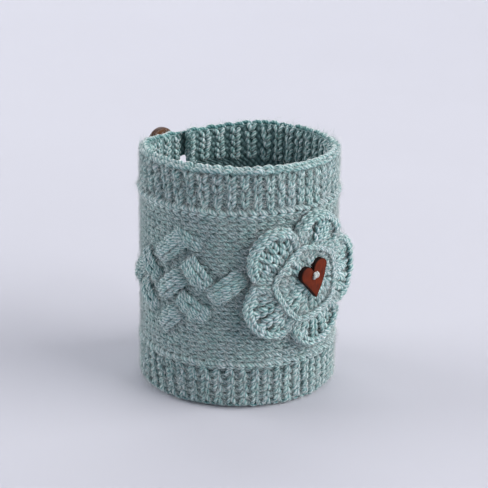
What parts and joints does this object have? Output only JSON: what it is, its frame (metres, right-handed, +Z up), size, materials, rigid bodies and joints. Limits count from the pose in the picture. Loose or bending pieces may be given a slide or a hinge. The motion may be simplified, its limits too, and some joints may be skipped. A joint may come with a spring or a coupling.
{
  "type": "french press cosy",
  "caption": "Knitted sleeve that stands on its hem and keeps a coffee pot warm, with woven cables, a crocheted flower, a heart button and a buttoned slot behind.",
  "frame": {"origin": "centre of the hem on the surface it stands on, on the sleeve's axis", "axes": "+Z up along the sleeve's axis, -Y out through the middle of the flower, +Y out through the slot behind"},
  "size_m": [0.1173, 0.1312, 0.1367],
  "materials": {
    "yarn": "chunky sage melange yarn, knitted",
    "flower_yarn": "the same yarn, crocheted",
    "heart_wood": "stained reddish brown with dark edges, satin",
    "button_wood": "dark brown, satin",
    "thread": "pale sewing yarn"
  },
  "bodies": {
    "root": {"sleeve": "yarn", "flower": "flower_yarn", "heart_button": "heart_wood", "heart_thread": "thread", "closure_tab": "yarn", "back_button": "button_wood", "back_thread": "thread"}
  },
  "joints": []
}
